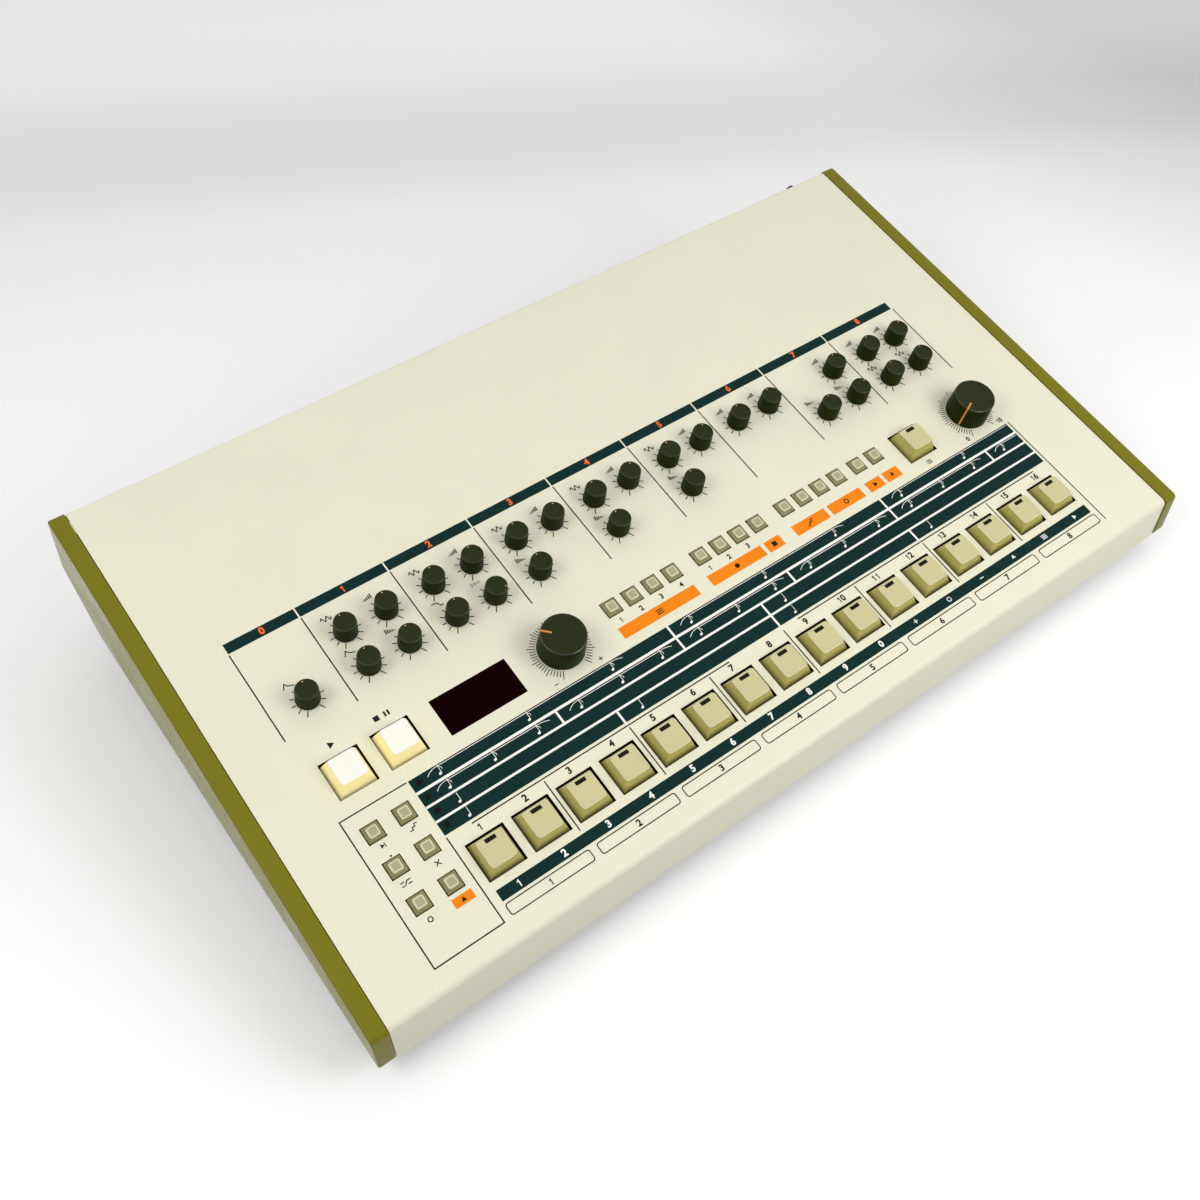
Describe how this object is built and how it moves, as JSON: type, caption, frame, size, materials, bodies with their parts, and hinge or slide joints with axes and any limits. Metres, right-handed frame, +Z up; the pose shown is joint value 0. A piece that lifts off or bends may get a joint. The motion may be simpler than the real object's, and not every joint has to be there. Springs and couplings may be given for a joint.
{
  "type": "drum machine",
  "caption": "Desktop drum machine: a sloped control panel with step keys, knobs, buttons and a display between two side cheeks, and a slanted rear socket panel.",
  "frame": {"origin": "on the resting surface, under the middle of the overall box", "axes": "+X to the player's right, +Y to the rear, +Z up"},
  "size_m": [0.486, 0.2991, 0.0996],
  "materials": {
    "painted_steel": "satin warm ivory powder coat",
    "steel": "zinc plated",
    "cheek": "fine moulded grain, olive",
    "window": "smoked dark red",
    "board": "phenolic board with its parts",
    "socket": "black plastic and plated nuts",
    "rubber": "matt",
    "key_beige": "satin",
    "key_white": "satin",
    "button": "satin",
    "knob": "satin, painted pointer",
    "rocker": "black"
  },
  "bodies": {
    "case": {"top_panel": "painted_steel", "chassis_pan": "painted_steel", "jack_panel": "painted_steel", "left_cheek": "cheek", "right_cheek": "cheek", "display_window": "window", "circuit_boards": "board", "rear_fittings": "socket", "rubber_feet": "rubber", "case_screws": "steel"},
    "power_rocker": {"power_rocker": "rocker"},
    "small_buttons": {"small_buttons": "button"},
    "accent_knob": {"accent_knob": "knob"},
    "bass_tune_knob": {"bass_tune_knob": "knob"},
    "bass_level_knob": {"bass_level_knob": "knob"},
    "bass_attack_knob": {"bass_attack_knob": "knob"},
    "bass_decay_knob": {"bass_decay_knob": "knob"},
    "snare_tune_knob": {"snare_tune_knob": "knob"},
    "snare_level_knob": {"snare_level_knob": "knob"},
    "snare_tone_knob": {"snare_tone_knob": "knob"},
    "snare_snap_knob": {"snare_snap_knob": "knob"},
    "low_tom_tune_knob": {"low_tom_tune_knob": "knob"},
    "low_tom_level_knob": {"low_tom_level_knob": "knob"},
    "low_tom_decay_knob": {"low_tom_decay_knob": "knob"},
    "mid_tom_tune_knob": {"mid_tom_tune_knob": "knob"},
    "mid_tom_level_knob": {"mid_tom_level_knob": "knob"},
    "mid_tom_decay_knob": {"mid_tom_decay_knob": "knob"},
    "high_tom_tune_knob": {"high_tom_tune_knob": "knob"},
    "high_tom_level_knob": {"high_tom_level_knob": "knob"},
    "high_tom_decay_knob": {"high_tom_decay_knob": "knob"},
    "rim_level_knob": {"rim_level_knob": "knob"},
    "clap_level_knob": {"clap_level_knob": "knob"},
    "hat_level_knob": {"hat_level_knob": "knob"},
    "closed_hat_decay_knob": {"closed_hat_decay_knob": "knob"},
    "open_hat_decay_knob": {"open_hat_decay_knob": "knob"},
    "crash_level_knob": {"crash_level_knob": "knob"},
    "ride_level_knob": {"ride_level_knob": "knob"},
    "crash_tune_knob": {"crash_tune_knob": "knob"},
    "ride_tune_knob": {"ride_tune_knob": "knob"},
    "tempo_knob": {"tempo_knob": "knob"},
    "volume_knob": {"volume_knob": "knob"},
    "step_key_01": {"step_key_01": "key_beige"},
    "step_key_02": {"step_key_02": "key_beige"},
    "step_key_03": {"step_key_03": "key_beige"},
    "step_key_04": {"step_key_04": "key_beige"},
    "step_key_05": {"step_key_05": "key_beige"},
    "step_key_06": {"step_key_06": "key_beige"},
    "step_key_07": {"step_key_07": "key_beige"},
    "step_key_08": {"step_key_08": "key_beige"},
    "step_key_09": {"step_key_09": "key_beige"},
    "step_key_10": {"step_key_10": "key_beige"},
    "step_key_11": {"step_key_11": "key_beige"},
    "step_key_12": {"step_key_12": "key_beige"},
    "step_key_13": {"step_key_13": "key_beige"},
    "step_key_14": {"step_key_14": "key_beige"},
    "step_key_15": {"step_key_15": "key_beige"},
    "step_key_16": {"step_key_16": "key_beige"},
    "start_key": {"start_key": "key_white"},
    "stop_key": {"stop_key": "key_white"},
    "enter_key": {"enter_key": "key_beige"}
  },
  "joints": [
    {"name": "accent_turn", "type": "hinge", "parent": "case", "child": "accent_knob", "pos_m": [-0.1902, -0.01503, 0.06802], "axis": [0, -0.225, 0.9744], "range_deg": [-144, 156]},
    {"name": "bass_tune_turn", "type": "hinge", "parent": "case", "child": "bass_tune_knob", "pos_m": [-0.1599, 0.00426, 0.07247], "axis": [0, -0.225, 0.9744], "range_deg": [-154, 146]},
    {"name": "bass_level_turn", "type": "hinge", "parent": "case", "child": "bass_level_knob", "pos_m": [-0.139, 0.00426, 0.07247], "axis": [0, -0.225, 0.9744], "range_deg": [-144, 156]},
    {"name": "bass_attack_turn", "type": "hinge", "parent": "case", "child": "bass_attack_knob", "pos_m": [-0.1599, -0.01503, 0.06802], "axis": [0, -0.225, 0.9744], "range_deg": [-147, 153]},
    {"name": "bass_decay_turn", "type": "hinge", "parent": "case", "child": "bass_decay_knob", "pos_m": [-0.139, -0.01503, 0.06802], "axis": [0, -0.225, 0.9744], "range_deg": [-147, 153]},
    {"name": "snare_tune_turn", "type": "hinge", "parent": "case", "child": "snare_tune_knob", "pos_m": [-0.114, 0.00426, 0.07247], "axis": [0, -0.225, 0.9744], "range_deg": [-147, 153]},
    {"name": "snare_level_turn", "type": "hinge", "parent": "case", "child": "snare_level_knob", "pos_m": [-0.0931, 0.00426, 0.07247], "axis": [0, -0.225, 0.9744], "range_deg": [-144, 156]},
    {"name": "snare_tone_turn", "type": "hinge", "parent": "case", "child": "snare_tone_knob", "pos_m": [-0.114, -0.01503, 0.06802], "axis": [0, -0.225, 0.9744], "range_deg": [-140, 160]},
    {"name": "snare_snap_turn", "type": "hinge", "parent": "case", "child": "snare_snap_knob", "pos_m": [-0.0931, -0.01503, 0.06802], "axis": [0, -0.225, 0.9744], "range_deg": [-26, 274]},
    {"name": "low_tom_tune_turn", "type": "hinge", "parent": "case", "child": "low_tom_tune_knob", "pos_m": [-0.0681, 0.00426, 0.07247], "axis": [0, -0.225, 0.9744], "range_deg": [-149, 151]},
    {"name": "low_tom_level_turn", "type": "hinge", "parent": "case", "child": "low_tom_level_knob", "pos_m": [-0.0472, 0.00426, 0.07247], "axis": [0, -0.225, 0.9744], "range_deg": [-122, 178]},
    {"name": "low_tom_decay_turn", "type": "hinge", "parent": "case", "child": "low_tom_decay_knob", "pos_m": [-0.0681, -0.01503, 0.06802], "axis": [0, -0.225, 0.9744], "range_deg": [-150, 150]},
    {"name": "mid_tom_tune_turn", "type": "hinge", "parent": "case", "child": "mid_tom_tune_knob", "pos_m": [-0.0222, 0.00426, 0.07247], "axis": [0, -0.225, 0.9744], "range_deg": [-148, 152]},
    {"name": "mid_tom_level_turn", "type": "hinge", "parent": "case", "child": "mid_tom_level_knob", "pos_m": [-0.0013, 0.00426, 0.07247], "axis": [0, -0.225, 0.9744], "range_deg": [-118, 182]},
    {"name": "mid_tom_decay_turn", "type": "hinge", "parent": "case", "child": "mid_tom_decay_knob", "pos_m": [-0.0222, -0.01503, 0.06802], "axis": [0, -0.225, 0.9744], "range_deg": [-150, 150]},
    {"name": "high_tom_tune_turn", "type": "hinge", "parent": "case", "child": "high_tom_tune_knob", "pos_m": [0.0237, 0.00426, 0.07247], "axis": [0, -0.225, 0.9744], "range_deg": [-146, 154]},
    {"name": "high_tom_level_turn", "type": "hinge", "parent": "case", "child": "high_tom_level_knob", "pos_m": [0.0446, 0.00426, 0.07247], "axis": [0, -0.225, 0.9744], "range_deg": [-118, 182]},
    {"name": "high_tom_decay_turn", "type": "hinge", "parent": "case", "child": "high_tom_decay_knob", "pos_m": [0.0237, -0.01503, 0.06802], "axis": [0, -0.225, 0.9744], "range_deg": [-148, 152]},
    {"name": "rim_level_turn", "type": "hinge", "parent": "case", "child": "rim_level_knob", "pos_m": [0.0696, 0.00426, 0.07247], "axis": [0, -0.225, 0.9744], "range_deg": [-148, 152]},
    {"name": "clap_level_turn", "type": "hinge", "parent": "case", "child": "clap_level_knob", "pos_m": [0.0905, 0.00426, 0.07247], "axis": [0, -0.225, 0.9744], "range_deg": [-150, 150]},
    {"name": "hat_level_turn", "type": "hinge", "parent": "case", "child": "hat_level_knob", "pos_m": [0.1364, 0.00426, 0.07247], "axis": [0, -0.225, 0.9744], "range_deg": [-146, 154]},
    {"name": "closed_hat_decay_turn", "type": "hinge", "parent": "case", "child": "closed_hat_decay_knob", "pos_m": [0.1155, -0.01503, 0.06802], "axis": [0, -0.225, 0.9744], "range_deg": [-144, 156]},
    {"name": "open_hat_decay_turn", "type": "hinge", "parent": "case", "child": "open_hat_decay_knob", "pos_m": [0.1364, -0.01503, 0.06802], "axis": [0, -0.225, 0.9744], "range_deg": [-90, 210]},
    {"name": "crash_level_turn", "type": "hinge", "parent": "case", "child": "crash_level_knob", "pos_m": [0.1614, 0.00426, 0.07247], "axis": [0, -0.225, 0.9744], "range_deg": [-150, 150]},
    {"name": "ride_level_turn", "type": "hinge", "parent": "case", "child": "ride_level_knob", "pos_m": [0.1823, 0.00426, 0.07247], "axis": [0, -0.225, 0.9744], "range_deg": [-110, 190]},
    {"name": "crash_tune_turn", "type": "hinge", "parent": "case", "child": "crash_tune_knob", "pos_m": [0.1614, -0.01503, 0.06802], "axis": [0, -0.225, 0.9744], "range_deg": [-153, 147]},
    {"name": "ride_tune_turn", "type": "hinge", "parent": "case", "child": "ride_tune_knob", "pos_m": [0.1823, -0.01503, 0.06802], "axis": [0, -0.225, 0.9744], "range_deg": [-141, 159]},
    {"name": "tempo_turn", "type": "hinge", "parent": "case", "child": "tempo_knob", "pos_m": [-0.0834, -0.05255, 0.05936], "axis": [0, -0.225, 0.9744], "range_deg": [-198, 102]},
    {"name": "volume_turn", "type": "hinge", "parent": "case", "child": "volume_knob", "pos_m": [0.182, -0.05255, 0.05936], "axis": [0, -0.225, 0.9744], "range_deg": [-263, 37]},
    {"name": "step_press_01", "type": "slide", "parent": "case", "child": "step_key_01", "axis": [0, 0.225, -0.9744], "range_m": [0, 0.003], "stiffness_N_per_m": 150, "springref_m": -0.003},
    {"name": "step_press_02", "type": "slide", "parent": "case", "child": "step_key_02", "axis": [0, 0.225, -0.9744], "range_m": [0, 0.003], "stiffness_N_per_m": 150, "springref_m": -0.003},
    {"name": "step_press_03", "type": "slide", "parent": "case", "child": "step_key_03", "axis": [0, 0.225, -0.9744], "range_m": [0, 0.003], "stiffness_N_per_m": 150, "springref_m": -0.003},
    {"name": "step_press_04", "type": "slide", "parent": "case", "child": "step_key_04", "axis": [0, 0.225, -0.9744], "range_m": [0, 0.003], "stiffness_N_per_m": 150, "springref_m": -0.003},
    {"name": "step_press_05", "type": "slide", "parent": "case", "child": "step_key_05", "axis": [0, 0.225, -0.9744], "range_m": [0, 0.003], "stiffness_N_per_m": 150, "springref_m": -0.003},
    {"name": "step_press_06", "type": "slide", "parent": "case", "child": "step_key_06", "axis": [0, 0.225, -0.9744], "range_m": [0, 0.003], "stiffness_N_per_m": 150, "springref_m": -0.003},
    {"name": "step_press_07", "type": "slide", "parent": "case", "child": "step_key_07", "axis": [0, 0.225, -0.9744], "range_m": [0, 0.003], "stiffness_N_per_m": 150, "springref_m": -0.003},
    {"name": "step_press_08", "type": "slide", "parent": "case", "child": "step_key_08", "axis": [0, 0.225, -0.9744], "range_m": [0, 0.003], "stiffness_N_per_m": 150, "springref_m": -0.003},
    {"name": "step_press_09", "type": "slide", "parent": "case", "child": "step_key_09", "axis": [0, 0.225, -0.9744], "range_m": [0, 0.003], "stiffness_N_per_m": 150, "springref_m": -0.003},
    {"name": "step_press_10", "type": "slide", "parent": "case", "child": "step_key_10", "axis": [0, 0.225, -0.9744], "range_m": [0, 0.003], "stiffness_N_per_m": 150, "springref_m": -0.003},
    {"name": "step_press_11", "type": "slide", "parent": "case", "child": "step_key_11", "axis": [0, 0.225, -0.9744], "range_m": [0, 0.003], "stiffness_N_per_m": 150, "springref_m": -0.003},
    {"name": "step_press_12", "type": "slide", "parent": "case", "child": "step_key_12", "axis": [0, 0.225, -0.9744], "range_m": [0, 0.003], "stiffness_N_per_m": 150, "springref_m": -0.003},
    {"name": "step_press_13", "type": "slide", "parent": "case", "child": "step_key_13", "axis": [0, 0.225, -0.9744], "range_m": [0, 0.003], "stiffness_N_per_m": 150, "springref_m": -0.003},
    {"name": "step_press_14", "type": "slide", "parent": "case", "child": "step_key_14", "axis": [0, 0.225, -0.9744], "range_m": [0, 0.003], "stiffness_N_per_m": 150, "springref_m": -0.003},
    {"name": "step_press_15", "type": "slide", "parent": "case", "child": "step_key_15", "axis": [0, 0.225, -0.9744], "range_m": [0, 0.003], "stiffness_N_per_m": 150, "springref_m": -0.003},
    {"name": "step_press_16", "type": "slide", "parent": "case", "child": "step_key_16", "axis": [0, 0.225, -0.9744], "range_m": [0, 0.003], "stiffness_N_per_m": 150, "springref_m": -0.003},
    {"name": "start_press", "type": "slide", "parent": "case", "child": "start_key", "axis": [0, 0.225, -0.9744], "range_m": [0, 0.003], "stiffness_N_per_m": 150, "springref_m": -0.003},
    {"name": "stop_press", "type": "slide", "parent": "case", "child": "stop_key", "axis": [0, 0.225, -0.9744], "range_m": [0, 0.003], "stiffness_N_per_m": 150, "springref_m": -0.003},
    {"name": "enter_press", "type": "slide", "parent": "case", "child": "enter_key", "axis": [0, 0.225, -0.9744], "range_m": [0, 0.003], "stiffness_N_per_m": 150, "springref_m": -0.003},
    {"name": "small_button_press", "type": "slide", "parent": "case", "child": "small_buttons", "axis": [0, 0.225, -0.9744], "range_m": [0, 0.0008], "stiffness_N_per_m": 600, "springref_m": -0.001},
    {"name": "power_rock", "type": "hinge", "parent": "case", "child": "power_rocker", "pos_m": [0.184, 0.13037, 0.06935], "axis": [1, 0, 0], "range_deg": [0, 10]}
  ]
}
